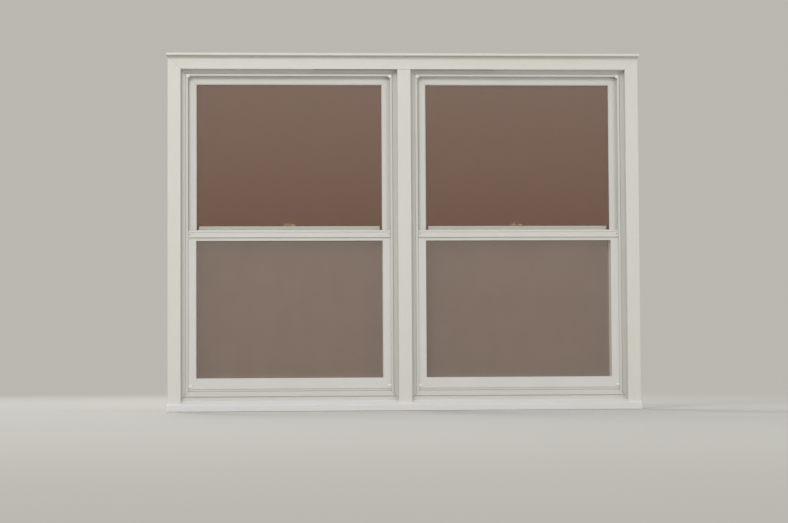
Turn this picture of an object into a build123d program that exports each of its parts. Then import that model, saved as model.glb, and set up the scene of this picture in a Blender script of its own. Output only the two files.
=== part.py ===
from build123d import *
import os
from math import cos, radians, sin, sqrt, tan

os.makedirs("parts", exist_ok=True)

# Twin double-hung sash window in its box frame, in millimetres.
# X runs along the wall, Y runs from outdoors into the room, Z is up.
# Y = 0 is the back of the casing, Z = 0 is the underside of the sill and X = 0 is the middle of the mullion.

# Opening and casing
unit_opening_width = 822
opening_height = 1257
casing_width = 50
mullion_casing_width = 51
casing_thickness = 27
casing_edge_radius = 2.5

# Sill
sill_nose_height = 25
sill_nose_projection = 20
sill_slope = 17.5
sill_nose_radius = 2.5
drip_kerf_width = 5
drip_kerf_depth = 4
drip_kerf_setback = 7

# Drip cap
cap_projection = 18
cap_nose_height = 9
cap_slope = 8
cap_end_overhang = 4
cap_nose_radius = 2

# Box frame of boards behind the casing
board_thickness = 19
frame_depth = 114
shim_gap = 2
fixing_hole_radius = 3
fixing_hole_setback = 7
fixing_hole_spread = 1080
fixing_hole_inner_spread = 400

# Stops that hold the unit frames from the room side
stop_width = 14
stop_depth = 12
stop_end_gap = 0.3

# Unit frame: distances across its section are counted from its outer face
side_overlap = 6
head_overlap = 9.5
unit_setback = 1
strip_width = 24
lip_width = 9
lip_proud = 4
lip_thickness = 6
lip_radius = 1.5
lip_groove_width = 1.5
lip_groove_depth = 1.5
track_depth = 12
track_step = 2
track_fin_thickness = 2
track_fin_height = 6

# Sill member of the unit frame
sill_strip_height = 16
sill_strip_lean = 1.5
sill_drain_fall = 4
sill_drain_rise = 2
lower_sash_seat = 37.4
sill_dam_height = 14.6
sill_dam_thickness = 6

# Balance channels in the jambs
channel_width = 22
channel_wall = 2
channel_back_wall = 2.5
slot_width = 11

# Sashes
sash_thickness = 30
sash_front_gap = 1
sash_gap = 3
sash_side_clearance = 0.8
sash_end_clearance = 0.3
sash_height_difference = 9
meeting_overlap = 55.5
head_reserve = 42.8
stile_width = 43
check_rail_height = 38
glazing_leg = 7
rabbet_depth = 15
sight_bevel = 3.5
weld_groove_width = 2.5
weld_groove_depth = 0.35
ledge_drop = 2
ledge_end_gap = 8

# Sealed glass
pane_thickness = 3
spacer_thickness = 10
spacer_width = 8
spacer_inset = 1
glass_edge_gap = 3
bead_bevel = 4
bead_end_gap = 0.3

# Lift rail on the lower sash
lift_height = 22
lift_reach = 12
lift_thickness = 3.5
lift_drop = 8
lift_end_gap = 14

# Tilt latches
latch_pocket_length = 62
latch_pocket_width = 12
latch_pocket_depth = 8
latch_clearance = 0.3
latch_throw = 8
latch_length = 44
latch_nose_width = 9
latch_nose_bevel = 1.6
latch_body_height = 5
latch_button_start = 14
latch_button_length = 20
latch_ridges = 4
latch_ridge_width = 1.3

# Pivot bars, balance shoes, spiral balances
pivot_bar_width = 8
pivot_bar_height = 4
pivot_bar_setup = 8
pivot_bar_length = 60
pivot_bar_engagement = 8
pivot_bar_clearance = 0.3
shoe_height = 50
shoe_clearance = 0.5
shoe_back_gap = 2.5
tube_radius = 4.4
tube_wall = 1
tube_side_gap = 0.2
tube_shoe_gap = 6
rod_radius = 1.6
rod_engagement = 15
rod_end_gap = 7

# Cam lock and keeper
lock_pivot_setback = 11
lock_base_length = 62
lock_base_width = 17
lock_base_thickness = 3
lock_base_edge = 0.7
lock_pin_radius = 3
lock_pin_clearance = 0.05
lock_hub_radius = 8.5
lock_hub_height = 10
lock_hub_edge = 2
lock_gap = 0.3
cam_underside = 4.3
cam_thickness = 3
cam_outer_radius = 20
cam_flange_thickness = 2.2
cam_half_angle = 14
lock_turn = 120
handle_length = 38
handle_width = 9
handle_tip_width = 7
handle_tip_radius = 3
handle_thickness = 4
handle_lead = 110
keeper_cover = 0.2
keeper_length = 44
keeper_width = 6.6
keeper_corner_radius = 1.6
keeper_base_thickness = 2

# Half screens
screen_thickness = 9.4
screen_track_play = 0.3
screen_sight_step = 2.3
screen_bottom_sight = 85
screen_rail_foot = 45
screen_top_drop = 20.5
screen_top_rail = 38.5
screen_groove_height = 4
screen_groove_rib = 3.4
screen_groove_depth = 3
mesh_thickness = 0.6
mesh_setback = 4.7
mesh_slot_width = 1.2
mesh_slot_depth = 5
mesh_edge_gap = 0.5
bar_height = 26
bar_end_clearance = 0.8
bar_groove_drop = 6
bar_groove_height = 2.6
bar_groove_depth = 2
bar_edge_radius = 1

# Levels and depths of the casing and box frame
casing_inner = mullion_casing_width / 2 + unit_opening_width
casing_outer = casing_inner + casing_width
nose_front = -(casing_thickness + sill_nose_projection)
seat = sill_nose_height - nose_front * tan(radians(sill_slope))
head_edge = seat + opening_height
casing_top = head_edge + casing_width
cap_front = -(casing_thickness + cap_projection)
cap_back_height = cap_nose_height - cap_front * tan(radians(cap_slope))

# Levels and depths of the unit frames
unit_half = unit_opening_width / 2 + side_overlap
unit_top = head_edge + head_overlap
unit_front = unit_setback
lip_front = unit_front - lip_proud
lip_edge = strip_width + lip_width
outer_floor = lip_edge - track_depth
inner_floor = outer_floor - track_step
screen_track_front = lip_front + lip_thickness
screen_front = screen_track_front + screen_track_play
screen_back = screen_front + screen_thickness
screen_track_back = screen_back + screen_track_play
fin_back = screen_track_back + track_fin_thickness
upper_front = fin_back + sash_front_gap
upper_back = upper_front + sash_thickness
lower_front = upper_back + sash_gap
lower_back = lower_front + sash_thickness
upper_mid = (upper_front + upper_back) / 2
lower_mid = (lower_front + lower_back) / 2
track_step_depth = (upper_back + lower_front) / 2
dam_front = lower_back + sash_side_clearance
unit_back = dam_front + sill_dam_thickness

# Levels and half widths of the boards
board_inner = mullion_casing_width / 2 + unit_opening_width + side_overlap + shim_gap
board_outer = board_inner + board_thickness
post_half = mullion_casing_width / 2 - side_overlap - shim_gap
head_board_underside = unit_top + shim_gap
fixing_depth = frame_depth - fixing_hole_setback
fixing_middle = (seat + head_board_underside) / 2
fixing_heights = [
    fixing_middle + side * spread / 2
    for spread in (fixing_hole_spread, fixing_hole_inner_spread)
    for side in (-1, 1)
]

# Half widths and levels of the sashes
upper_half = unit_half - outer_floor - sash_side_clearance
lower_half = unit_half - inner_floor - sash_side_clearance
upper_top = unit_top - outer_floor - sash_end_clearance
lower_bottom = seat + lower_sash_seat + sash_end_clearance
sash_heights = upper_top - lower_bottom + meeting_overlap
upper_bottom = upper_top - (sash_heights + sash_height_difference) / 2
lower_top = lower_bottom + (sash_heights - sash_height_difference) / 2
sash_travel = unit_top - inner_floor - lower_top - head_reserve
ledge_top = lower_top - ledge_drop
lock_pivot = lower_front + lock_pivot_setback
glass_thickness = 2 * pane_thickness + spacer_thickness
bead_thickness = sash_thickness - glazing_leg - glass_thickness
glass_bite = rabbet_depth - glass_edge_gap

# Half widths and levels of the half screens
screen_half = upper_half
screen_sight = upper_half - stile_width + screen_sight_step
screen_bottom = seat + outer_floor + sash_end_clearance
screen_top = lower_top - screen_top_drop
screen_low_sight = seat + screen_bottom_sight
screen_high_sight = screen_top - screen_top_rail
mesh_depth = screen_front + mesh_setback
bar_half = unit_half - lip_edge - bar_end_clearance
bar_bottom = screen_top - bar_height

units = {
    "left": -(mullion_casing_width + unit_opening_width) / 2,
    "right": (mullion_casing_width + unit_opening_width) / 2,
}


def facing(depth):
    """Upright plane along the wall that looks outdoors: local x is X, local y is Z."""
    return Plane.XZ.offset(-depth)


def across(x):
    """Upright plane across the wall that looks along X: local x is Y, local y is Z."""
    return Plane.YZ.offset(x)


def level(height):
    """Level plane that looks up: local x is X, local y is Y."""
    return Plane.XY.offset(height)


def panel(x0, x1, y0, y1, mode=Mode.ADD):
    """Rectangle between two pairs of edges, in the sketch's own axes."""
    with Locations(((x0 + x1) / 2, (y0 + y1) / 2)):
        Rectangle(abs(x1 - x0), abs(y1 - y0), mode=mode)


def shape(*points):
    """Face with straight sides through the given points."""
    Polygon(*points, align=None)


def finish(piece, name):
    """Label a finished piece and write its file."""
    piece.part.label = name
    export_step(piece.part, f"parts/{name}.step")


# Sill: weathered nose across the whole width, level seat between the boards
with BuildPart() as sill:
    with BuildSketch(across(-casing_outer)):
        shape((nose_front, 0), (nose_front, sill_nose_height), (0, seat), (0, 0))
        fillet(vertices().group_by(Axis.X)[0], sill_nose_radius)
        kerf_front = nose_front + drip_kerf_setback
        panel(kerf_front, kerf_front + drip_kerf_width, 0, drip_kerf_depth, Mode.SUBTRACT)
    extrude(amount=2 * casing_outer)
    with BuildSketch(across(-board_outer)):
        panel(0, frame_depth, 0, seat)
    extrude(amount=2 * board_outer)
finish(sill, "sill")

# Jamb boards stand on the sill, with fixing holes into the wall
for side, sign in (("left", -1), ("right", 1)):
    with BuildPart() as jamb_board:
        with BuildSketch(level(seat)):
            panel(sign * board_inner, sign * board_outer, 0, frame_depth)
        extrude(amount=head_board_underside - seat)
        with BuildSketch(across(sign * board_inner)):
            with Locations(*[(fixing_depth, height) for height in fixing_heights]):
                Circle(fixing_hole_radius)
        extrude(amount=sign * board_thickness, mode=Mode.SUBTRACT)
    finish(jamb_board, f"{side}_jamb_board")

with BuildPart() as mullion_post:
    with BuildSketch(level(seat)):
        panel(-post_half, post_half, 0, frame_depth)
    extrude(amount=head_board_underside - seat)
finish(mullion_post, "mullion_post")

with BuildPart() as head_board:
    with BuildSketch(level(head_board_underside)):
        panel(-board_outer, board_outer, 0, frame_depth)
    extrude(amount=board_thickness)
finish(head_board, "head_board")

# Casings: the head and side casings meet in mitres, and all feet follow the slope of the sill
sill_surface = Plane(
    origin=(0, 0, seat),
    x_dir=(1, 0, 0),
    z_dir=(0, -sin(radians(sill_slope)), cos(radians(sill_slope))),
)


def long_front_edges(piece, axis):
    """Edges along the length of a casing on its weather face."""
    return piece.faces().sort_by(Axis.Y)[0].edges().filter_by(axis)


with BuildPart() as head_casing:
    with BuildSketch(facing(0)):
        shape(
            (-casing_inner, head_edge),
            (-casing_outer, casing_top),
            (casing_outer, casing_top),
            (casing_inner, head_edge),
        )
    extrude(amount=casing_thickness)
    fillet(long_front_edges(head_casing, Axis.X), casing_edge_radius)
finish(head_casing, "head_casing")

for side, sign in (("left", -1), ("right", 1)):
    with BuildPart() as side_casing:
        with BuildSketch(facing(0)):
            shape(
                (sign * casing_inner, 0),
                (sign * casing_inner, head_edge),
                (sign * casing_outer, casing_top),
                (sign * casing_outer, 0),
            )
        extrude(amount=casing_thickness)
        fillet(long_front_edges(side_casing, Axis.Z), casing_edge_radius)
        split(bisect_by=sill_surface, keep=Keep.TOP)
    finish(side_casing, f"{side}_casing")

with BuildPart() as mullion_casing:
    with BuildSketch(facing(0)):
        panel(-mullion_casing_width / 2, mullion_casing_width / 2, 0, head_edge)
    extrude(amount=casing_thickness)
    fillet(long_front_edges(mullion_casing, Axis.Z), casing_edge_radius)
    split(bisect_by=sill_surface, keep=Keep.TOP)
finish(mullion_casing, "mullion_casing")

# Drip cap on the head casing, with a sloping top and a kerf under its nose
cap_half = casing_outer + cap_end_overhang
with BuildPart() as drip_cap:
    with BuildSketch(across(-cap_half)):
        shape(
            (cap_front, casing_top),
            (cap_front, casing_top + cap_nose_height),
            (0, casing_top + cap_back_height),
            (0, casing_top),
        )
        fillet(vertices().group_by(Axis.X)[0], cap_nose_radius)
        cap_kerf_front = cap_front + drip_kerf_setback
        panel(
            cap_kerf_front,
            cap_kerf_front + drip_kerf_width,
            casing_top,
            casing_top + drip_kerf_depth,
            Mode.SUBTRACT,
        )
    extrude(amount=2 * cap_half)
finish(drip_cap, "drip_cap")

# Stops around the room side of each unit frame, as separate lengths
with BuildPart() as interior_stops:
    with BuildSketch(facing(unit_back + stop_depth)):
        for centre in units.values():
            reach = unit_half + shim_gap
            for sign in (-1, 1):
                panel(
                    centre + sign * reach,
                    centre + sign * (reach - stop_width),
                    seat,
                    head_board_underside,
                )
            between = reach - stop_width - stop_end_gap
            panel(centre - between, centre + between, seat, seat + stop_width)
            panel(
                centre - between,
                centre + between,
                head_board_underside - stop_width,
                head_board_underside,
            )
    extrude(amount=stop_depth)
finish(interior_stops, "interior_stops")


def head_and_jamb_section():
    """Section of the head and jambs: x is the distance from the outer face, y the depth."""
    shape(
        (0, unit_front),
        (strip_width - lip_groove_width, unit_front),
        (strip_width - lip_groove_width, unit_front + lip_groove_depth),
        (strip_width, unit_front + lip_groove_depth),
        (strip_width, lip_front),
        (lip_edge, lip_front),
        (lip_edge, screen_track_front),
        (outer_floor, screen_track_front),
        (outer_floor, screen_track_back),
        (outer_floor + track_fin_height, screen_track_back),
        (outer_floor + track_fin_height, fin_back),
        (outer_floor, fin_back),
        (outer_floor, track_step_depth),
        (inner_floor, track_step_depth),
        (inner_floor, unit_back),
        (0, unit_back),
    )
    fillet(vertices().group_by(Axis.Y)[0], lip_radius)
    for floor, mid in ((outer_floor, upper_mid), (inner_floor, lower_mid)):
        inside = floor - channel_wall
        panel(channel_back_wall, inside, mid - channel_width / 2, mid + channel_width / 2, Mode.SUBTRACT)
        panel(inside, floor, mid - slot_width / 2, mid + slot_width / 2, Mode.SUBTRACT)


def sill_section():
    """Section of the sill member: x is the height above the seat, y the depth."""
    shape(
        (0, unit_front),
        (sill_strip_height, unit_front + sill_strip_lean),
        (sill_strip_height, lip_front),
        (lip_edge, lip_front),
        (lip_edge, screen_track_front),
        (outer_floor, screen_track_front),
        (outer_floor, screen_track_back),
        (outer_floor + track_fin_height, screen_track_back),
        (outer_floor + track_fin_height, fin_back),
        (outer_floor + sill_drain_rise, fin_back),
        (outer_floor + sill_drain_rise + sill_drain_fall, track_step_depth),
        (lower_sash_seat, track_step_depth),
        (lower_sash_seat, dam_front),
        (lower_sash_seat + sill_dam_height, dam_front),
        (lower_sash_seat + sill_dam_height, unit_back),
        (0, unit_back),
    )
    fillet(vertices().group_by(Axis.Y)[0], lip_radius)


def frame_member(section, corner_x, corner_z, inward, along, length):
    """One length of the unit frame, mitred at both ends where it shows on the weather side."""
    with BuildPart() as member:
        with BuildSketch(Plane(origin=(corner_x, 0, corner_z), x_dir=inward, z_dir=along)):
            section()
        extrude(amount=length)
        front = Plane(origin=(corner_x, screen_track_front, corner_z), x_dir=inward, z_dir=(0, -1, 0))
        with BuildSketch(front):
            shape((0, 0), (lip_edge, 0), (lip_edge, lip_edge))
            shape((0, length), (lip_edge, length), (lip_edge, length - lip_edge))
        extrude(amount=lip_thickness, mode=Mode.SUBTRACT)
    return member


def unit_frame(centre):
    """Welded frame of one unit: head, sill and two jambs."""
    left, right = centre - unit_half, centre + unit_half
    height, width = unit_top - seat, 2 * unit_half
    members = [
        frame_member(head_and_jamb_section, left, seat, (1, 0, 0), (0, 0, 1), height),
        frame_member(head_and_jamb_section, left, unit_top, (0, 0, -1), (1, 0, 0), width),
        frame_member(head_and_jamb_section, right, unit_top, (-1, 0, 0), (0, 0, -1), height),
        frame_member(sill_section, right, seat, (0, 0, 1), (-1, 0, 0), width),
    ]
    with BuildPart() as frame:
        for member in members:
            add(member.part)
    return frame


for side, centre in units.items():
    finish(unit_frame(centre), f"{side}_unit_frame")


def opening_of(half, bottom, top, bottom_rail, top_rail):
    """Half width, low edge and high edge of the daylight opening of a sash."""
    return half - stile_width, bottom + bottom_rail, top - top_rail


def sash_frame(centre, half, bottom, top, front, bottom_rail, top_rail):
    """Welded sash frame: a glazing leg on the weather side, a rabbet on the room side, bevelled sight edges."""
    back = front + sash_thickness
    sight, low, high = opening_of(half, bottom, top, bottom_rail, top_rail)
    with BuildPart() as frame:
        with BuildSketch(facing(back)):
            panel(centre - half, centre + half, bottom, top)
            panel(
                centre - sight - rabbet_depth,
                centre + sight + rabbet_depth,
                low - rabbet_depth,
                high + rabbet_depth,
                Mode.SUBTRACT,
            )
        extrude(amount=sash_thickness - glazing_leg)
        with BuildSketch(facing(front + glazing_leg)):
            panel(centre - half, centre + half, bottom, top)
            panel(centre - sight, centre + sight, low, high, Mode.SUBTRACT)
        extrude(amount=glazing_leg)
        chamfer(frame.faces().sort_by(Axis.Y)[0].inner_wires()[0].edges(), sight_bevel)

        # Shallow grooves where the welds at the mitres were cleaned off
        with BuildSketch(facing(front)):
            for sign in (-1, 1):
                for inner, outer in ((low, bottom), (high, top)):
                    with BuildLine():
                        Line((centre + sign * sight, inner), (centre + sign * half, outer))
                    trace(line_width=weld_groove_width)
        extrude(amount=-weld_groove_depth, mode=Mode.SUBTRACT)

        # Pockets for the tilt latches and holes for the pivot bars, at both sides
        mid = (front + back) / 2
        for sign in (-1, 1):
            edge = centre + sign * half
            with BuildSketch(level(top)):
                panel(
                    edge,
                    edge - sign * latch_pocket_length,
                    mid - latch_pocket_width / 2,
                    mid + latch_pocket_width / 2,
                )
            extrude(amount=-latch_pocket_depth, mode=Mode.SUBTRACT)
            bar_low = bottom + pivot_bar_setup
            with BuildSketch(across(edge)):
                panel(
                    mid - pivot_bar_width / 2 - pivot_bar_clearance,
                    mid + pivot_bar_width / 2 + pivot_bar_clearance,
                    bar_low - pivot_bar_clearance,
                    bar_low + pivot_bar_height + pivot_bar_clearance,
                )
            extrude(amount=-sign * pivot_bar_length, mode=Mode.SUBTRACT)
    return frame


def upper_sash(centre):
    """Upper sash: its check rail has a tall leg behind the glass that ends in a ledge for the keeper."""
    frame = sash_frame(
        centre, upper_half, upper_bottom, upper_top, upper_front, check_rail_height, stile_width
    )
    sight, low, high = opening_of(upper_half, upper_bottom, upper_top, check_rail_height, stile_width)
    with BuildPart() as sash:
        add(frame.part)
        with BuildSketch(facing(upper_back)):
            panel(centre - sight - rabbet_depth, centre + sight + rabbet_depth, low - rabbet_depth, low)
            panel(centre - sight + ledge_end_gap, centre + sight - ledge_end_gap, low, ledge_top)
        extrude(amount=bead_thickness)
    return sash


def lower_sash(centre):
    """Lower sash: its bottom rail carries a lift rail with a turned-down finger edge."""
    frame = sash_frame(
        centre, lower_half, lower_bottom, lower_top, lower_front, stile_width, check_rail_height
    )
    sight = lower_half - stile_width
    lift_low = lower_bottom + lift_height
    with BuildPart() as sash:
        add(frame.part)
        with BuildSketch(across(centre - sight + lift_end_gap)):
            shape(
                (lower_back, lift_low),
                (lower_back, lift_low + lift_thickness),
                (lower_back + lift_reach, lift_low + lift_thickness),
                (lower_back + lift_reach, lift_low + lift_thickness - lift_drop),
                (lower_back + lift_reach - lift_thickness, lift_low + lift_thickness - lift_drop),
                (lower_back + lift_reach - lift_thickness, lift_low),
            )
            fillet(vertices().group_by(Axis.X)[-1].sort_by(Axis.Y)[-1], lift_thickness / 2)
        extrude(amount=2 * (sight - lift_end_gap))
        # Hole in the check rail for the foot of the lock's pin
        with BuildSketch(level(lower_top)):
            with Locations((centre, lock_pivot)):
                Circle(lock_pin_radius + lock_pin_clearance)
        extrude(amount=-lock_base_thickness, mode=Mode.SUBTRACT)
    return sash


def panes(centre, opening, front):
    """Two panes of sealed glass, held at their edges in the rabbet."""
    sight, low, high = opening
    outer_face = front + glazing_leg
    with BuildPart() as glass:
        for face in (outer_face, outer_face + pane_thickness + spacer_thickness):
            with BuildSketch(facing(face + pane_thickness)):
                panel(
                    centre - sight - glass_bite,
                    centre + sight + glass_bite,
                    low - glass_bite,
                    high + glass_bite,
                )
            extrude(amount=pane_thickness)
    return glass


def spacer(centre, opening, front):
    """Spacer frame between the two panes, out of sight behind the glazing leg."""
    sight, low, high = opening
    edge = glass_bite - spacer_inset
    with BuildPart() as ring:
        with BuildSketch(facing(front + glazing_leg + pane_thickness + spacer_thickness)):
            panel(centre - sight - edge, centre + sight + edge, low - edge, high + edge)
            inner = edge - spacer_width
            panel(
                centre - sight - inner,
                centre + sight + inner,
                low - inner,
                high + inner,
                Mode.SUBTRACT,
            )
        extrude(amount=spacer_thickness)
    return ring


def beads(centre, opening, front, with_bottom):
    """Glazing beads on the room side: separate lengths, bevelled towards the glass."""
    sight, low, high = opening
    back = front + sash_thickness
    stile_low = low - rabbet_depth if with_bottom else low
    with BuildPart() as strips:
        with BuildSketch(facing(back)):
            for sign in (-1, 1):
                panel(
                    centre + sign * sight,
                    centre + sign * (sight + rabbet_depth),
                    stile_low,
                    high + rabbet_depth,
                )
            rail_half = sight - bead_end_gap
            panel(centre - rail_half, centre + rail_half, high, high + rabbet_depth)
            if with_bottom:
                panel(centre - rail_half, centre + rail_half, low - rabbet_depth, low)
        extrude(amount=bead_thickness)
        room_edges = strips.faces().group_by(Axis.Y)[-1].edges()
        towards_glass = [
            edge
            for edge in room_edges.filter_by(Axis.Z)
            if abs(abs(edge.center().X - centre) - sight) < bead_end_gap / 2
        ]
        towards_glass += [
            edge
            for edge in room_edges.filter_by(Axis.X)
            if edge.length > sight
            and min(abs(edge.center().Z - height) for height in (low, high)) < bead_end_gap / 2
        ]
        chamfer(towards_glass, bead_bevel)
    return strips


def tilt_latch(edge, inward, mid, top):
    """Sprung latch in the sash's pocket, its nose out in the jamb's slot and its ridged button on top."""
    base = top - latch_pocket_depth + latch_clearance
    button_top = top - latch_clearance
    body_half = latch_pocket_width / 2 - latch_clearance
    with BuildPart() as latch:
        with BuildSketch(level(base)):
            panel(
                edge - inward * latch_throw,
                edge + inward * latch_length,
                mid - latch_nose_width / 2,
                mid + latch_nose_width / 2,
            )
            panel(
                edge + inward * latch_clearance,
                edge + inward * latch_length,
                mid - body_half,
                mid + body_half,
            )
        extrude(amount=latch_body_height)
        nose_edges = latch.edges().filter_by(Axis.Y).group_by(Axis.X)[0 if inward > 0 else -1]
        chamfer(nose_edges, latch_nose_bevel)
        start = edge + inward * latch_button_start
        with BuildSketch(level(base + latch_body_height)):
            panel(
                start,
                start + inward * latch_button_length,
                mid - latch_nose_width / 2,
                mid + latch_nose_width / 2,
            )
        extrude(amount=button_top - base - latch_body_height)
        pitch = latch_button_length / (latch_ridges + 1)
        with BuildSketch(level(button_top)):
            for ridge in range(latch_ridges):
                at = start + inward * pitch * (ridge + 1)
                panel(
                    at - latch_ridge_width / 2,
                    at + latch_ridge_width / 2,
                    mid - latch_nose_width / 2,
                    mid + latch_nose_width / 2,
                )
        extrude(amount=-(button_top - base - latch_body_height) / 2, mode=Mode.SUBTRACT)
    return latch


def balance_spot(centre, sign, mid):
    """Place of a spiral balance's axis in plan: against the back wall of its channel, beside the slot."""
    x = centre + sign * (unit_half - channel_back_wall - tube_radius)
    return x, mid - (channel_width / 2 - tube_radius - tube_side_gap)


def rods_and_pivots(centre, half, floor, mid, bottom, rod_length):
    """Two pivot bars in the sash's bottom corners and the two balance rods that stand on the shoes."""
    shoe_top = bottom + shoe_clearance + shoe_height
    with BuildPart() as steel:
        for sign in (-1, 1):
            socket = unit_half - floor + channel_wall + shoe_clearance
            bar_end = centre + sign * (socket + pivot_bar_engagement)
            bar_start = centre + sign * (half - pivot_bar_length + pivot_bar_clearance)
            with BuildSketch(level(bottom + pivot_bar_setup)):
                panel(bar_start, bar_end, mid - pivot_bar_width / 2, mid + pivot_bar_width / 2)
            extrude(amount=pivot_bar_height)
            with BuildSketch(level(shoe_top)):
                with Locations(balance_spot(centre, sign, mid)):
                    Circle(rod_radius)
            extrude(amount=rod_length)
    return steel


def shoes(centre, floor, mid, bottom):
    """Balance shoes: blocks that run in the channels, each with a socket for a pivot bar."""
    with BuildPart() as blocks:
        for sign in (-1, 1):
            wall_side = centre + sign * (unit_half - channel_back_wall - shoe_back_gap)
            slot_side = centre + sign * (unit_half - floor + channel_wall + shoe_clearance)
            half_width = channel_width / 2 - shoe_clearance
            with BuildSketch(level(bottom + shoe_clearance)):
                panel(wall_side, slot_side, mid - half_width, mid + half_width)
            extrude(amount=shoe_height)
            bar_low = bottom + pivot_bar_setup - pivot_bar_clearance
            with BuildSketch(across(slot_side)):
                panel(
                    mid - pivot_bar_width / 2 - pivot_bar_clearance,
                    mid + pivot_bar_width / 2 + pivot_bar_clearance,
                    bar_low,
                    bar_low + pivot_bar_height + 2 * pivot_bar_clearance,
                )
            extrude(amount=sign * (pivot_bar_engagement + pivot_bar_clearance), mode=Mode.SUBTRACT)
    return blocks


# Balance tubes stand in the jamb channels: above the shoes' travel for the lower sashes, above the shoes
# themselves for the upper ones
tube_length = sash_travel + rod_engagement + rod_end_gap
upper_tube_bottom = upper_bottom + shoe_clearance + shoe_height + tube_shoe_gap
lower_tube_bottom = lower_bottom + shoe_clearance + shoe_height + sash_travel + tube_shoe_gap
with BuildPart() as balance_tubes:
    for centre in units.values():
        for floor, mid, tube_bottom in (
            (outer_floor, upper_mid, upper_tube_bottom),
            (inner_floor, lower_mid, lower_tube_bottom),
        ):
            for sign in (-1, 1):
                with BuildSketch(level(tube_bottom)):
                    with Locations(balance_spot(centre, sign, mid)):
                        Circle(tube_radius)
                        Circle(tube_radius - tube_wall, mode=Mode.SUBTRACT)
                extrude(amount=tube_length)
finish(balance_tubes, "balance_tubes")

# Rods reach into their tubes by the same length when the rod is drawn out furthest
rod_length = tube_shoe_gap + sash_travel + rod_engagement

sash_kinds = {
    "upper": (upper_half, upper_bottom, upper_top, upper_front, check_rail_height, stile_width, outer_floor),
    "lower": (lower_half, lower_bottom, lower_top, lower_front, stile_width, check_rail_height, inner_floor),
}
for side, centre in units.items():
    finish(upper_sash(centre), f"{side}_upper_sash")
    finish(lower_sash(centre), f"{side}_lower_sash")
    for kind, (half, bottom, top, front, bottom_rail, top_rail, floor) in sash_kinds.items():
        name = f"{side}_{kind}"
        mid = front + sash_thickness / 2
        opening = opening_of(half, bottom, top, bottom_rail, top_rail)
        finish(panes(centre, opening, front), f"{name}_panes")
        finish(spacer(centre, opening, front), f"{name}_spacer")
        finish(beads(centre, opening, front, kind == "lower"), f"{name}_beads")
        finish(shoes(centre, floor, mid, bottom), f"{name}_shoes")
        finish(rods_and_pivots(centre, half, floor, mid, bottom, rod_length), f"{name}_rods_and_pivots")
        for end, sign in (("left", -1), ("right", 1)):
            finish(tilt_latch(centre + sign * half, -sign, mid, top), f"{name}_{end}_latch")


def lock_base(centre):
    """Lock base: a plate with rounded ends and a bevelled edge, bored for the lever's pin."""
    with BuildPart() as base:
        with BuildSketch(level(lower_top)):
            with Locations((centre, lock_pivot)):
                SlotOverall(lock_base_length, lock_base_width)
                Circle(lock_pin_radius + lock_pin_clearance, mode=Mode.SUBTRACT)
        extrude(amount=lock_base_thickness)
        chamfer(base.faces().sort_by(Axis.Z)[-1].outer_wire().edges(), lock_base_edge)
    return base


def lock_lever(centre):
    """Lock lever in its open position: pin, hub, a cam whose flange hooks behind the keeper, and a handle."""
    plate_top = lower_top + lock_base_thickness
    hub_top = plate_top + lock_gap + lock_hub_height
    cam_angle = radians(-90 - lock_turn)
    handle_angle = cam_angle - radians(handle_lead)
    cam_low = Plane(
        origin=(centre, lock_pivot, plate_top + cam_underside),
        x_dir=(cos(cam_angle), sin(cam_angle), 0),
        z_dir=(0, 0, 1),
    )
    flange_low = cam_low.offset(lock_gap + keeper_cover - cam_underside)
    handle_low = Plane(
        origin=(centre, lock_pivot, hub_top - handle_thickness - lock_hub_edge),
        x_dir=(cos(handle_angle), sin(handle_angle), 0),
        z_dir=(0, 0, 1),
    )
    with BuildPart() as lever:
        with BuildSketch(level(lower_top - lock_base_thickness + lock_gap)):
            with Locations((centre, lock_pivot)):
                Circle(lock_pin_radius)
        extrude(amount=2 * lock_base_thickness)
        with BuildSketch(level(plate_top + lock_gap)):
            with Locations((centre, lock_pivot)):
                Circle(lock_hub_radius)
        extrude(amount=lock_hub_height)
        chamfer(lever.faces().sort_by(Axis.Z)[-1].edges(), lock_hub_edge)
        for plane, inner_radius, thickness in (
            (cam_low, lock_hub_radius / 2, cam_thickness),
            (flange_low, cam_outer_radius - cam_flange_thickness, cam_underside - keeper_cover),
        ):
            with BuildSketch(plane) as sector:
                Circle(cam_outer_radius)
                Circle(inner_radius, mode=Mode.SUBTRACT)
                reach = 2 * cam_outer_radius
                Polygon(
                    (0, 0),
                    (reach, -reach * tan(radians(cam_half_angle))),
                    (reach, reach * tan(radians(cam_half_angle))),
                    align=None,
                    mode=Mode.INTERSECT,
                )
            extrude(amount=thickness)
        with BuildSketch(handle_low):
            Polygon(
                (0, -handle_width / 2),
                (handle_length, -handle_tip_width / 2),
                (handle_length, handle_tip_width / 2),
                (0, handle_width / 2),
                align=None,
            )
            fillet(vertices().group_by(Axis.X)[-1], handle_tip_radius)
        extrude(amount=handle_thickness)
    return lever


def keeper(centre):
    """Keeper on the ledge of the upper sash: a plate with a lug that the cam's flange hooks behind."""
    plate_front = upper_back - keeper_width
    reach = cam_outer_radius - cam_flange_thickness
    lug_front = lock_pivot - reach * cos(radians(cam_half_angle)) + lock_gap
    lug_half = sqrt((reach - lock_gap) ** 2 - (lock_pivot - lug_front) ** 2)
    lug_top = lower_top + lock_base_thickness + cam_underside - lock_gap
    with BuildPart() as plate:
        with BuildSketch(level(ledge_top)):
            panel(centre - keeper_length / 2, centre + keeper_length / 2, plate_front, upper_back)
            fillet(vertices(), keeper_corner_radius)
        extrude(amount=keeper_base_thickness)
        with BuildSketch(level(ledge_top)):
            panel(centre - lug_half, centre + lug_half, lug_front, upper_back)
        extrude(amount=lug_top - ledge_top)
    return plate


for side, centre in units.items():
    finish(lock_base(centre), f"{side}_lock_base")
    finish(lock_lever(centre), f"{side}_lock_lever")
    finish(keeper(centre), f"{side}_lock_keeper")


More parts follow.
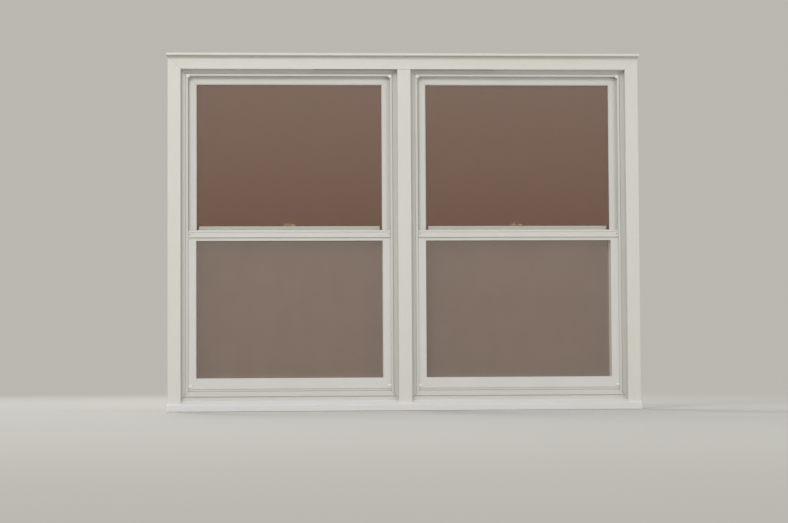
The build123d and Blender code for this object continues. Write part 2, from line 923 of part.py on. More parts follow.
def screen_frame(centre):
    """Frame of a half screen: its bottom rail has a foot with two grooves, and a slot all round holds the mesh."""
    middle = (screen_low_sight + screen_high_sight) / 2
    with BuildPart() as frame:
        with BuildSketch(facing(screen_back)):
            panel(centre - screen_half, centre + screen_half, screen_bottom, screen_top)
            panel(
                centre - screen_sight,
                centre + screen_sight,
                screen_low_sight,
                screen_high_sight,
                Mode.SUBTRACT,
            )
        extrude(amount=screen_thickness)
        with BuildSketch(facing(screen_front)):
            foot = seat + screen_rail_foot
            pitch = screen_groove_height + screen_groove_rib
            for groove in range(2):
                high = foot - groove * pitch
                panel(centre - screen_half, centre + screen_half, high - screen_groove_height, high)
        extrude(amount=-screen_groove_depth, mode=Mode.SUBTRACT)
        with BuildSketch(facing(mesh_depth + mesh_slot_width / 2)):
            with Locations((centre, middle)):
                Rectangle(
                    2 * (screen_sight + mesh_slot_depth),
                    screen_high_sight - screen_low_sight + 2 * mesh_slot_depth,
                )
        extrude(amount=mesh_slot_width, mode=Mode.SUBTRACT)
    return frame


def screen_mesh(centre):
    """Insect mesh as a thin sheet, its edges in the slot of the screen frame."""
    middle = (screen_low_sight + screen_high_sight) / 2
    tuck = mesh_slot_depth - mesh_edge_gap
    with BuildPart() as sheet:
        with BuildSketch(facing(mesh_depth + mesh_thickness / 2)):
            with Locations((centre, middle)):
                Rectangle(
                    2 * (screen_sight + tuck),
                    screen_high_sight - screen_low_sight + 2 * tuck,
                )
        extrude(amount=mesh_thickness)
    return sheet


def screen_bar(centre):
    """Cross bar over the screen's stiles, cut square between the frame's lips."""
    with BuildPart() as bar:
        with BuildSketch(across(centre - bar_half)):
            panel(lip_front, screen_front, bar_bottom, screen_top)
            fillet(vertices().group_by(Axis.X)[0], bar_edge_radius)
            groove_top = screen_top - bar_groove_drop
            panel(
                lip_front,
                lip_front + bar_groove_depth,
                groove_top - bar_groove_height,
                groove_top,
                Mode.SUBTRACT,
            )
        extrude(amount=2 * bar_half)
    return bar


for side, centre in units.items():
    finish(screen_frame(centre), f"{side}_screen_frame")
    finish(screen_mesh(centre), f"{side}_screen_mesh")
    finish(screen_bar(centre), f"{side}_screen_bar")
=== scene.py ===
from math import cos, radians, sin

import bpy
import numpy as np
from bpy.props import FloatProperty, FloatVectorProperty, PointerProperty
from bpy.types import Operator, Panel, PropertyGroup
from mathutils import Matrix, Vector


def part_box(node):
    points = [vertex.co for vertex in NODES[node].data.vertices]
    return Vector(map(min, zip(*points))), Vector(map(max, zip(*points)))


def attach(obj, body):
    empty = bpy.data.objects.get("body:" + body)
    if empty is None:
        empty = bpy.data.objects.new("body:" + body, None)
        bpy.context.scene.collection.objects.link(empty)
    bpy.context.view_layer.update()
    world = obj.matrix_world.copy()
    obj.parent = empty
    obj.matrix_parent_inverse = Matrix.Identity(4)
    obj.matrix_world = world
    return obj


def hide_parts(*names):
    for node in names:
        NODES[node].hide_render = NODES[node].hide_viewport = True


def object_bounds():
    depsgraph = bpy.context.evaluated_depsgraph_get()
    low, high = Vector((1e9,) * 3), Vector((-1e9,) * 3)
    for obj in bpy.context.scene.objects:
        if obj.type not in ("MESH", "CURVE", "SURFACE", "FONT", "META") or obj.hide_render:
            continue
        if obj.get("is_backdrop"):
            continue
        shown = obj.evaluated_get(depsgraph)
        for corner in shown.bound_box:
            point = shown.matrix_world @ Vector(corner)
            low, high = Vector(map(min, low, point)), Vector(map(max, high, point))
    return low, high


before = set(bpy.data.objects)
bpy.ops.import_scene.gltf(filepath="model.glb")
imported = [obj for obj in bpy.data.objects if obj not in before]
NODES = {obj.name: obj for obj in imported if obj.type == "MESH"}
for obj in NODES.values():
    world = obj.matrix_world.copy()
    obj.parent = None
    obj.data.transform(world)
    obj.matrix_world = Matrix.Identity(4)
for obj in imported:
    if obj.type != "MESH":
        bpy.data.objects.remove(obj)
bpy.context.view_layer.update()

bl_info = {
    "name": "Twin sash window finish",
    "version": (1, 0, 0),
    "blender": (4, 5, 0),
    "location": "View3D > Sidebar > Sash window",
    "description": "Finishes, insect mesh, seals and stage for a twin double-hung sash window",
    "category": "Object",
}

SIDES = ("left", "right")
KINDS = ("upper", "lower")
PAIRS = [f"{side}_{kind}" for side in SIDES for kind in KINDS]

# Camera: the photo's width in pixels and the width of the sensor in millimetres.
PHOTO_WIDTH = 788
SENSOR_WIDTH = 36.0

# Weld lines: how far from a corner they run, half their width measured along X, and how dark they are.
FRAME_WELD = {"reach": 0.034, "line": 0.0016, "dark": 0.75}
SASH_WELD = {"reach": 0.046, "line": 0.0010, "dark": 0.5}

# Hairlines in the paint, half their width: along X at the mitres, along Z where the mullion meets the head.
MITRE_LINE = 0.0009
BUTT_LINE = 0.0006

# Panes: thickness, bevel of the ground edge, and how far a face lies inside the solid's.
PANE_THICKNESS = 0.003
PANE_BEVEL = 0.0006
PANE_PLAY = 0.00008

# Where the glass's painted room shade is left out, so that what stands behind shows: the check rail's ledge,
# this far in from the pane's sides, and the lock, whose clear patch has this half width and height and stands
# this far along X from the middle of the lock's base.
LEDGE_INSET = 0.020
LOCK_REACH = (0.030, 0.0155)
LOCK_SLIDE = {"left": -0.0002, "right": -0.0033}

# Screws: profiles of radius and height from the rim of the head to the foot, then where they stand.
FLUSH_SCREW = [(0.0030, 0.0004), (0.0036, 0.0001), (0.0036, -0.0004), (0.0018, -0.0022), (0.0018, -0.0160)]
SMALL_SCREW = [(0.0022, 0.0007), (0.0028, 0.0002), (0.0028, -0.0003), (0.0015, -0.0003), (0.0015, -0.0080)]
PAN_SCREW = [(0.0024, 0.0020), (0.0034, 0.0012), (0.0034, 0.0000), (0.0020, 0.0000), (0.0017, -0.0190)]
SCREW_SIDES = 20
# The cross recess, painted dark as shade: half width of its arms and the reach of u plus v, in millimetres of
# the flat map.
RECESS_HALF_WIDTH = 0.34
RECESS_REACH = 2.1
LOCK_SCREW_REACH = 0.023
BAR_SCREW_INSET = 0.006
BAR_SCREW_DROP = 0.014
CHANNEL_BACK_WALL = 0.0025
JAMB_SCREW_HEIGHTS = (0.200, 0.640, 1.190)
# The two units' screws stand at different depths, so that none faces another through the mullion post.
JAMB_SCREW_DEPTH = {"left": 0.033, "right": 0.066}

# Dabs of weld flash and sealant: place in a corner, half size along X, Y and Z, grid and lumps of each ball.
FRAME_DAB_INSET = 0.0325
FRAME_DAB_LIFT = 0.0002
FRAME_DAB_REACH = (0.0068, 0.0011, 0.0060)
SCREEN_DAB_INSET = 0.0385
SCREEN_DAB_HEIGHT = 0.0545
SCREEN_DAB_REACH = (0.0085, 0.0010, 0.0052)
DAB_ROWS = 12
DAB_COLUMNS = 24
DAB_SWELL = 0.28

# Floor: radii of its rings, their sides, and the distance at which the backdrop's colour starts to take over,
# with the length over which it does.
FLOOR_RINGS = (0.5, 1.5, 3.0, 6.0, 12.0, 40.0)
FLOOR_SIDES = 48
FLOOR_FADE_START = 1.6
FLOOR_FADE_LENGTH = 4.5

# Lamps: name, place, point that they face, diameter, and power as a share of the main lamp's.
LAMPS = (
    ("key", (-2.4, -5.4, 4.6), (0.0, 0.0, 0.7), 2.6, 1.0),
    ("fill", (4.4, -5.5, 1.2), (0.0, 0.0, 0.6), 2.4, 0.40),
    ("room", (-2.2, 4.6, 4.4), (0.0, 0.0, 0.7), 3.0, 1.25),
)


class Socket:
    """A shader value used in sums: every operator adds one Math node to the tree."""

    def __init__(self, tree, output):
        self.tree = tree
        self.output = output

    def math(self, operation, *values):
        node = self.tree.nodes.new("ShaderNodeMath")
        node.operation = operation
        for socket, value in zip(node.inputs, values):
            plug(self.tree, socket, value)
        return Socket(self.tree, node.outputs[0])

    def __add__(self, other):
        return self.math("ADD", self, other)

    def __radd__(self, other):
        return self.math("ADD", other, self)

    def __sub__(self, other):
        return self.math("SUBTRACT", self, other)

    def __rsub__(self, other):
        return self.math("SUBTRACT", other, self)

    def __mul__(self, other):
        return self.math("MULTIPLY", self, other)

    def __rmul__(self, other):
        return self.math("MULTIPLY", other, self)

    def __truediv__(self, other):
        return self.math("DIVIDE", self, other)

    def __pow__(self, other):
        return self.math("POWER", self, other)

    def size(self):
        """The value without its sign."""
        return self.math("ABSOLUTE", self)

    def lesser(self, other):
        """The smaller of two values."""
        return self.math("MINIMUM", self, other)

    def below(self, limit):
        """1 where the value is under the limit, else 0."""
        return self.math("LESS_THAN", self, limit)

    def inside(self, low, high):
        """1 where the value is between two limits, else 0."""
        return self.math("GREATER_THAN", self, low) * self.below(high)

    def clamp(self):
        """The value held between 0 and 1."""
        return self.math("MINIMUM", self.math("MAXIMUM", self, 0.0), 1.0)

    def rise(self, start, slope):
        """0 up to the start, then growing by the slope for each unit, up to 1."""
        return ((self - start) * slope).clamp()


def plug(tree, socket, value):
    """Links a Socket to an input, or writes a plain value there, a colour with its fourth number."""
    if isinstance(value, Socket):
        tree.links.new(value.output, socket)
    elif socket.type == "RGBA":
        socket.default_value = (*value[:3], 1.0)
    else:
        socket.default_value = value


class Shading:
    """Nodes of a material or the world: node() adds any node, and the other methods are short forms of it."""

    def __init__(self, owner, place):
        owner.use_nodes = True
        self.owner = owner
        self.tree = owner.node_tree
        self.tree.nodes.clear()
        self.place = self.node("ShaderNodeTexCoord", output=place)

    def node(self, kind, settings=None, inputs=None, output=0):
        """Adds a node: its settings are set first, then its inputs are linked or written."""
        node = self.tree.nodes.new(kind)
        for key, value in (settings or {}).items():
            setattr(node, key, value)
        for key, value in (inputs or {}).items():
            plug(self.tree, node.inputs[key], value)
        return Socket(self.tree, node.outputs[output]) if node.outputs else None

    def axis(self, name, vector=None):
        """One coordinate of a vector, or of the place where none is given."""
        return self.node("ShaderNodeSeparateXYZ", {}, {0: vector or self.place}, name)

    def ray(self, kind):
        """1 for rays of one kind, else 0."""
        return self.node("ShaderNodeLightPath", output=f"Is {kind} Ray")

    def blend(self, share, first, second):
        """Shader that goes from first to second with the share."""
        return self.node("ShaderNodeMixShader", {}, {0: share, 1: first, 2: second})


class Finish(Shading):
    """A material, on Object coordinates in metres."""

    def __init__(self, name):
        super().__init__(bpy.data.materials.new(name), "Object")

    def stretched(self, scale):
        """Object coordinates with each axis multiplied by its own scale."""
        return self.node("ShaderNodeVectorMath", {"operation": "MULTIPLY"}, {0: self.place, 1: scale})

    def noise(self, scale, detail=3.0, roughness=0.5, vector=None):
        """Noise between about 0.3 and 0.7; scale counts features in each metre."""
        inputs = {"Vector": vector or self.place, "Scale": scale, "Detail": detail, "Roughness": roughness}
        return self.node("ShaderNodeTexNoise", {}, inputs)

    def mix(self, factor, first, second):
        """Colour that goes from first to second with the factor."""
        return self.node("ShaderNodeMix", {"data_type": "RGBA"}, {0: factor, 6: first, 7: second}, 2)

    def bump(self, height, distance, strength):
        """Normal tilted by a height field; distance is its height in metres."""
        return self.node("ShaderNodeBump", {}, {"Height": height, "Distance": distance, "Strength": strength})

    def surface(self, **sockets):
        """Principled shader, with each socket named by its words joined with underscores."""
        inputs = {key.replace("_", " "): value for key, value in sockets.items()}
        return self.node("ShaderNodeBsdfPrincipled", {}, inputs)

    def done(self, shader):
        """Ends the material with its shader and returns it."""
        self.node("ShaderNodeOutputMaterial", {"is_active_output": True}, {"Surface": shader})
        return self.owner


def shaded(colour, factor):
    """A colour times one factor, or times a factor for each of its three numbers."""
    factors = factor if isinstance(factor, tuple) else (factor,) * 3
    return tuple(c * f for c, f in zip(colour, factors))


def painted_timber(name, colour, along, dirt, joints=False):
    """White paint on timber: brush strokes along the grain, faint yellowing and dirt that gathers low down.

    Strokes are noise stretched some 70 times along the piece. Dirt is fine noise above a threshold, and more
    of it near z = 0. A hairline in the paint lies where the distance past the head's edge equals that past
    the side's edge, and over the end of the mullion.
    """
    finish = Finish(name)
    across, length = 620.0, 9.0
    scale = (length, across, across) if along == "X" else (across, across, length)
    strokes = finish.noise(1.0, detail=4.0, roughness=0.6, vector=finish.stretched(scale))
    patches = finish.noise(2.1, roughness=0.55)
    specks = finish.noise(170.0, detail=8.0, roughness=0.72)
    low = (0.30 - finish.axis("Z") * 1.2).clamp()
    soiled = ((specks - 0.60 + low * 0.12 + (patches - 0.5) * 0.25) * 3.6).clamp() * dirt
    tone = finish.mix(patches.rise(0.40, 3.0), colour, shaded(colour, (0.99, 0.975, 0.935)))
    tone = finish.mix(strokes.rise(0.50, 0.9), tone, shaded(colour, 0.80))
    tone = finish.mix(soiled, tone, shaded(colour, (0.68, 0.645, 0.575)))
    relief = strokes + patches * 0.4
    if joints:
        inner, head_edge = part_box("right_casing")[0][0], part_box("mullion_casing")[1][2]
        past_side = finish.axis("X").size() - inner
        past_head = finish.axis("Z") - head_edge
        corner = (1.0 - (past_side - past_head).size() / MITRE_LINE).clamp() * (1.0 - past_head.below(0.0))
        beside_mullion = past_side.below(-0.5)
        butt = (1.0 - past_head.size() / BUTT_LINE).clamp() * beside_mullion
        hairline = (corner + butt).clamp()
        tone = finish.mix(hairline * 0.6, tone, shaded(colour, 0.4))
        relief = relief - hairline * 2.0
    gloss = (0.34 + patches * 0.20 + soiled * 0.2).clamp()
    bumpy = finish.bump(relief, 0.0003, 0.6)
    return finish.done(finish.surface(Base_Color=tone, Roughness=gloss, Normal=bumpy))


def extruded_vinyl(name, colour, dirt, welded=None, weld=None):
    """White vinyl: nearly smooth, with a fine orange peel and dust on faces that look up.

    Dust is the upward part of the normal times noise; the peel is noise at 2 mm. A weld line lies where the
    distance from the side of the welded node equals the distance from its top or foot, within reach of a
    corner, on the node's own side and, mirrored, on the other.
    """
    finish = Finish(name)
    peel = finish.noise(480.0, detail=2.0)
    patches = finish.noise(3.4)
    specks = finish.noise(150.0, detail=4.0, roughness=0.6)
    upward = finish.node("ShaderNodeNewGeometry", output="Normal")
    facing_up = (finish.axis("Z", upward) - 0.2).clamp()
    dust = (facing_up * (specks * 1.8 - 0.45)).clamp() * dirt
    grey = shaded(colour, (0.60, 0.565, 0.49))
    tone = finish.mix(patches.rise(0.4, 2.5), colour, shaded(colour, (0.965, 0.96, 0.94)))
    tone = finish.mix(dust, tone, grey)
    tone = finish.mix(specks.rise(0.62, 2.5) * dirt, tone, grey)
    relief, depth = peel, 0.00012
    if welded:
        low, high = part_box(welded)
        middle, half = (low[0] + high[0]) / 2, (high[0] - low[0]) / 2
        from_side = half - (finish.axis("X").size() - middle).size()
        height = finish.axis("Z")
        from_end = (high[2] - height).lesser(height - low[2])
        mitre = (1.0 - (from_side - from_end).size() / weld["line"]).clamp()
        near = mitre * from_side.below(weld["reach"])
        tone = finish.mix(near * weld["dark"], tone, shaded(colour, 0.42))
        relief, depth = peel * 0.5 - near, 0.00025
    gloss = (0.28 + patches * 0.16 + dust * 0.3).clamp()
    bumpy = finish.bump(relief, depth, 0.5)
    return finish.done(finish.surface(Base_Color=tone, Roughness=gloss, Normal=bumpy))


def coated_metal(name, colour):
    """Baked enamel on metal: smooth and slightly glossy, with faint rolling lines that run along X."""
    finish = Finish(name)
    lines = finish.noise(1.0, detail=2.0, vector=finish.stretched((9.0, 300.0, 900.0)))
    patches = finish.noise(6.0)
    tone = finish.mix(patches.rise(0.4, 2.5), colour, shaded(colour, 0.96))
    bumpy = finish.bump(lines, 0.00006, 0.4)
    return finish.done(finish.surface(Base_Color=tone, Roughness=0.26 + patches * 0.14, Normal=bumpy))


def bare_pine(name, light, dark):
    """Pine boards: growth rings as a wave stretched along Z and bent by noise, with fine pores."""
    finish = Finish(name)
    bent = finish.stretched((1.0, 1.0, 0.09))
    wobble = finish.noise(9.0, vector=bent)
    rings = finish.node(
        "ShaderNodeTexWave",
        {"wave_type": "RINGS", "rings_direction": "Z"},
        {"Vector": bent, "Scale": 95.0, "Distortion": wobble * 12.0, "Detail": 3.0},
        "Fac",
    )
    pores = finish.noise(1.0, detail=4.0, roughness=0.6, vector=finish.stretched((900.0, 900.0, 14.0)))
    tone = finish.mix((rings * 0.75 + (pores - 0.5) * 0.5).clamp(), light, dark)
    bumpy = finish.bump(pores + rings * 0.3, 0.0002, 0.5)
    return finish.done(finish.surface(Base_Color=tone, Roughness=0.62 + pores * 0.12, Normal=bumpy))


def window_glass(name, room_shade, body, ledges=(), domes=()):
    """Clear glass: a see-through layer, mixed with a dark gloss that grows at a grazing angle.

    The gloss reflects the world, and its dark colour is painted shade: it stands for the dim room that such
    glass shows. It holds back no light, and it is left out before what stands close behind the glass: a
    ledge, as (low x, high x, top z), and a lock, as a dome of (middle x, foot z), where it fades with the
    distance from the middle counted in the dome's half width and height.
    """
    finish = Finish(name)
    film = finish.noise(3.0)
    # Painted shade: the dark base colour stands for the dim room behind the glass.
    gloss = finish.surface(Base_Color=room_shade, Roughness=(0.015 + (film - 0.4) * 0.06).clamp(), IOR=2.35)
    clear = finish.node("ShaderNodeBsdfTransparent", {}, {"Color": (0.995, 0.992, 0.985)})
    edge = finish.node("ShaderNodeLayerWeight", {}, {"Blend": 0.5}, "Facing") ** 5.0 * 0.75 + 0.02
    lit = 1.0 - (finish.ray("Shadow") + finish.ray("Diffuse")).clamp()
    # Share of the painted room shade: more at a grazing angle, less where the ledge and lock show through.
    share = edge + body
    if ledges:
        x, z = finish.axis("X"), finish.axis("Z")
        masks = [x.inside(low_x, high_x) * z.below(top) for low_x, high_x, top in ledges]
        for middle, foot in domes:
            far = ((x - middle) / LOCK_REACH[0]) ** 2 + ((z - foot) / LOCK_REACH[1]) ** 2
            masks.append(((1.0 - far) * 1.6).clamp() * 0.9)
        shown = masks[0]
        for mask in masks[1:]:
            shown = shown + mask
        share = edge + body * (1.0 - shown.clamp())
    return finish.done(finish.blend(share.clamp() * lit, clear, gloss))


def cast_metal(name, colour, dark, rough):
    """Worn metal: tarnish by noise, brighter where it is rubbed, with fine scratches."""
    finish = Finish(name)
    tarnish = finish.noise(160.0, detail=5.0, roughness=0.65)
    scratch = finish.noise(1.0, roughness=0.6, vector=finish.stretched((2200.0, 300.0, 300.0)))
    worn = tarnish.rise(0.42, 3.2)
    tone = finish.mix(worn, dark, colour)
    gloss = (rough + (1.0 - worn) * 0.25).clamp()
    bumpy = finish.bump(scratch + tarnish * 0.5, 0.00006, 0.5)
    return finish.done(finish.surface(Base_Color=tone, Metallic=1.0, Roughness=gloss, Normal=bumpy))


def moulded_plastic(name, colour, rough=0.42):
    """Moulded plastic: faint patches of shade and a fine grain in its face."""
    finish = Finish(name)
    grain = finish.noise(900.0, detail=2.0)
    patches = finish.noise(14.0)
    tone = finish.mix(patches.rise(0.4, 2.0), colour, shaded(colour, 0.9))
    bumpy = finish.bump(grain, 0.00008, 0.5)
    return finish.done(finish.surface(Base_Color=tone, Roughness=rough + patches * 0.1, Normal=bumpy))


def screw_steel(name, colour):
    """Bright metal with a cross recess painted dark as shade, where the smaller of |u| and |v| is little,
    near the axis.
    """
    finish = Finish(name)
    flat = finish.node("ShaderNodeUVMap", {"uv_map": "flat"})
    u, v = finish.axis("X", flat).size(), finish.axis("Y", flat).size()
    shaded_recess = u.lesser(v).below(RECESS_HALF_WIDTH) * (u + v).below(RECESS_REACH)
    grain = finish.noise(700.0, roughness=0.6)
    gloss = 0.30 + grain * 0.15
    tone = finish.mix(grain.rise(0.4, 3.0), colour, shaded(colour, 0.7))
    # Painted shade: the cross recess is coloured near black, as the shade inside it.
    tone = finish.mix(shaded_recess * 0.85, tone, (0.05, 0.05, 0.05))
    bumpy = finish.bump(grain * 0.1 - shaded_recess, 0.0005, 0.6)
    return finish.done(finish.surface(Base_Color=tone, Metallic=1.0, Roughness=gloss, Normal=bumpy))


def weld_flash(name):
    """Lumpy white vinyl and sealant: noise at 2 to 3 mm in shade and relief."""
    finish = Finish(name)
    lumps = finish.noise(420.0, roughness=0.6)
    tone = finish.mix(lumps.rise(0.35, 3.0), (0.80, 0.79, 0.76), (0.90, 0.895, 0.875))
    bumpy = finish.bump(lumps, 0.0004, 0.8)
    return finish.done(finish.surface(Base_Color=tone, Roughness=0.38, Normal=bumpy))


def corners(name):
    """A node's lowest and highest corner as arrays."""
    low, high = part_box(name)
    return np.array(low), np.array(high)


def dress(material, *names):
    """Gives CAD nodes one material."""
    for name in names:
        data = NODES[name].data
        data.materials.clear()
        data.materials.append(material)
        NODES[name].material_slots[0].material = material


def new_piece(name, shape, material, body, smooth=False):
    """Mesh object from a shape's arrays: vertices as rows of x, y, z, faces of equal length, and any map."""
    vertices, faces, *flat = shape
    mesh = bpy.data.meshes.new(name)
    mesh.vertices.add(len(vertices))
    mesh.vertices.foreach_set("co", np.asarray(vertices, dtype=np.float32).ravel())
    mesh.loops.add(faces.size)
    mesh.loops.foreach_set("vertex_index", faces.astype(np.int32).ravel())
    mesh.polygons.add(len(faces))
    mesh.polygons.foreach_set("loop_start", np.arange(0, faces.size, faces.shape[1], dtype=np.int32))
    mesh.polygons.foreach_set("loop_total", np.full(len(faces), faces.shape[1], dtype=np.int32))
    mesh.polygons.foreach_set("use_smooth", np.full(len(faces), smooth))
    mesh.update(calc_edges=True)
    if flat:
        layer = mesh.uv_layers.new(name="flat")
        layer.data.foreach_set("uv", flat[0][faces.ravel()].astype(np.float32).ravel())
    mesh.validate()
    mesh.materials.append(material)
    piece = bpy.data.objects.new(name, mesh)
    bpy.context.scene.collection.objects.link(piece)
    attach(piece, body)
    return piece


def joined(*parts):
    """One shape from several: their arrays follow each other, and a part's faces keep its own vertices."""
    starts = np.cumsum([0] + [len(part[0]) for part in parts])
    arrays = [np.concatenate(rows) for rows in zip(*parts)]
    arrays[1] = np.concatenate([part[1] + start for part, start in zip(parts, starts)])
    return arrays


def ring_quads(rows, columns):
    """Faces between neighbouring rings of points, where ring r holds the points from r times columns on."""
    ring = np.arange(columns)
    follow = (ring + 1) % columns
    start = np.arange(rows - 1)[:, None] * columns
    sides = (start + ring, start + columns + ring, start + columns + follow, start + follow)
    return np.stack(sides, axis=2).reshape(-1, 4)


def closed_rings(rows, columns):
    """Triangles of rings of points that close at two more points, the first above them and the last below."""
    quads = ring_quads(rows, columns)
    ring = np.arange(columns)
    follow = (ring + 1) % columns
    top, last = rows * columns, (rows - 1) * columns
    cap_top = np.stack([np.full(columns, top), ring, follow], axis=1)
    cap_foot = np.stack([np.full(columns, top + 1), last + follow, last + ring], axis=1)
    return np.concatenate([quads[:, [0, 1, 2]], quads[:, [0, 2, 3]], cap_top, cap_foot])


def rods_between(starts, ends, first, second, radius):
    """Square rods for a whole family of straight wires at once.

    Each rod carries a square profile with corners at start or end plus radius times
    (first cos t + second sin t) for t = 0, 90, 180 and 270 degrees. Both ends are closed.
    """
    turns = np.radians([0.0, 90.0, 180.0, 270.0])
    ring = radius * (np.cos(turns)[:, None] * first + np.sin(turns)[:, None] * second)[None]
    vertices = np.concatenate([starts[:, None, :] + ring, ends[:, None, :] + ring], axis=1)
    sides = np.array([[k, (k + 1) % 4, (k + 1) % 4 + 4, k + 4] for k in range(4)])
    block = np.concatenate([sides, [[3, 2, 1, 0], [4, 5, 6, 7]]])
    faces = block[None] + 8 * np.arange(len(starts))[:, None, None]
    return vertices.reshape(-1, 3), faces.reshape(-1, 4)


def turned(profile, spots, first, second, outward):
    """Solids of revolution, alike at every spot, as triangles, with a flat map centred on each axis.

    A point is spot + radius (first cos t + second sin t) + height outward, for each (radius, height) of the
    profile from the top's rim to the foot; a point on the axis closes each end. The map holds radius cos t
    and radius sin t in millimetres.
    """
    rim = np.array(profile)
    turns = np.linspace(0.0, 2 * np.pi, SCREW_SIDES, endpoint=False)
    plan = rim[:, None, :1] * np.stack([np.cos(turns), np.sin(turns)], axis=1)[None]
    heights = np.broadcast_to(rim[:, None, 1:], (len(rim), SCREW_SIDES, 1))
    ends = np.array([[0.0, 0.0, rim[0, 1]], [0.0, 0.0, rim[-1, 1]]])
    local = np.concatenate([np.concatenate([plan, heights], axis=2).reshape(-1, 3), ends])
    vertices = np.asarray(spots)[:, None, :] + (local @ np.stack([first, second, outward]))[None]
    block = closed_rings(len(rim), SCREW_SIDES)
    faces = (block[None] + len(local) * np.arange(len(spots))[:, None, None]).reshape(-1, 3)
    flat = np.tile(local[:, :2] * 1000.0, (len(spots), 1))
    return vertices.reshape(-1, 3), faces, flat


class SASHWINDOW_PG_finish(PropertyGroup):
    """Colours of the visible finishes."""

    trim: FloatVectorProperty(
        name="Trim paint",
        description="Casings, drip cap and interior stops",
        subtype="COLOR",
        default=(0.75, 0.73, 0.68),
    )
    # The sill's paint is whiter and cooler than the trim's: partly its own colour, partly painted sky light
    # standing for the sky's bluish sheen on its slope.
    sill: FloatVectorProperty(
        name="Sill paint",
        description="Sill, painted whiter than the trim",
        subtype="COLOR",
        default=(0.80, 0.795, 0.785),
    )
    vinyl: FloatVectorProperty(
        name="Vinyl",
        description="Unit frames, and a shade lighter the sashes and beads",
        subtype="COLOR",
        default=(0.67, 0.66, 0.615),
    )
    enamel: FloatVectorProperty(
        name="Screen enamel",
        description="Screen frames and cross bars",
        subtype="COLOR",
        default=(0.73, 0.715, 0.675),
    )
    # Painted shade: the panes' dark gloss colour stands for the dim room seen through them.
    glass: FloatVectorProperty(
        name="Glass",
        description="Dark gloss of the panes",
        subtype="COLOR",
        default=(0.135, 0.044, 0.016),
    )
    # How much of the painted room shade each face of a pane carries.
    room_shade_share: FloatProperty(
        name="Glass body",
        description="Share of the dark gloss on each face of a pane",
        subtype="FACTOR",
        default=0.47,
        min=0.0,
        max=1.0,
    )
    brass: FloatVectorProperty(
        name="Lock metal",
        description="Cam locks, keepers and lock screws",
        subtype="COLOR",
        default=(0.84, 0.62, 0.29),
    )
    dirt: FloatProperty(
        name="Dirt",
        description="Strength of dust and stains",
        subtype="FACTOR",
        default=0.5,
        min=0.0,
        max=1.0,
    )


class SASHWINDOW_PG_mesh(PropertyGroup):
    """Sizes and colour of the insect mesh."""

    pitch_across: FloatProperty(
        name="Pitch across", description="Distance between upright wires", default=0.00141, unit="LENGTH"
    )
    pitch_up: FloatProperty(
        name="Pitch up", description="Distance between level wires", default=0.00159, unit="LENGTH"
    )
    wire: FloatProperty(name="Wire", description="Thickness of a wire", default=0.00028, unit="LENGTH")
    colour: FloatVectorProperty(
        name="Wire colour", description="Colour of the wires", subtype="COLOR", default=(0.58, 0.505, 0.44)
    )


class SASHWINDOW_PG_stage(PropertyGroup):
    """Camera and light."""

    camera_x: FloatProperty(
        name="Camera X", description="Camera's place along the window", default=-0.483, unit="LENGTH"
    )
    camera_y: FloatProperty(
        name="Camera Y", description="Camera's place in front of the window", default=-8.0, unit="LENGTH"
    )
    camera_z: FloatProperty(
        name="Camera Z", description="Camera's height above the sill's foot", default=0.163, unit="LENGTH"
    )
    yaw: FloatProperty(name="Yaw", description="Turn to the left", default=radians(-3.167), subtype="ANGLE")
    pitch: FloatProperty(name="Pitch", description="Upward tilt", default=radians(2.874), subtype="ANGLE")
    roll: FloatProperty(
        name="Roll", description="Turn about the line of sight", default=radians(-0.309), subtype="ANGLE"
    )
    focal: FloatProperty(
        name="Focal length", description="In pixels of the photo", default=2108.9, min=100.0, subtype="PIXEL"
    )
    floor: FloatVectorProperty(
        name="Floor", description="Colour of the floor", subtype="COLOR", default=(0.53, 0.517, 0.48)
    )
    backdrop: FloatVectorProperty(
        name="Backdrop", description="Colour behind the object", subtype="COLOR", default=(0.49, 0.475, 0.435)
    )
    sky: FloatProperty(name="Sky", description="Strength of the even light", default=0.42, min=0.0)
    key: FloatProperty(
        name="Key", description="Power of the main lamp", default=175.0, min=0.0, unit="POWER"
    )


class SASHWINDOW_OT_trim(Operator):
    """Paint the casings, drip cap and sill"""

    bl_idname = "sashwindow.trim"
    bl_label = "Trim paint"

    def execute(self, context):
        settings = context.scene.sash_finish
        colour = tuple(settings.trim)
        level = painted_timber("trim_paint_level", colour, "X", settings.dirt)
        # Sill paint: partly its own whiter colour, partly painted sky light on its slope.
        sill = painted_timber("sill_paint", tuple(settings.sill), "X", settings.dirt)
        head = painted_timber("trim_paint_head", colour, "X", settings.dirt, joints=True)
        upright = painted_timber("trim_paint_upright", colour, "Z", settings.dirt, joints=True)
        dress(sill, "sill")
        dress(level, "drip_cap")
        dress(head, "head_casing")
        dress(upright, "left_casing", "right_casing", "mullion_casing")
        return {"FINISHED"}


class SASHWINDOW_OT_boards(Operator):
    """Give the box frame and the interior stops their timber"""

    bl_idname = "sashwindow.boards"
    bl_label = "Box frame timber"

    def execute(self, context):
        pine = bare_pine("bare_pine", (0.66, 0.50, 0.33), (0.50, 0.34, 0.19))
        painted = painted_timber("stop_paint", tuple(context.scene.sash_finish.trim), "Z", 0.1)
        dress(pine, "left_jamb_board", "right_jamb_board", "mullion_post", "head_board")
        dress(painted, "interior_stops")
        return {"FINISHED"}


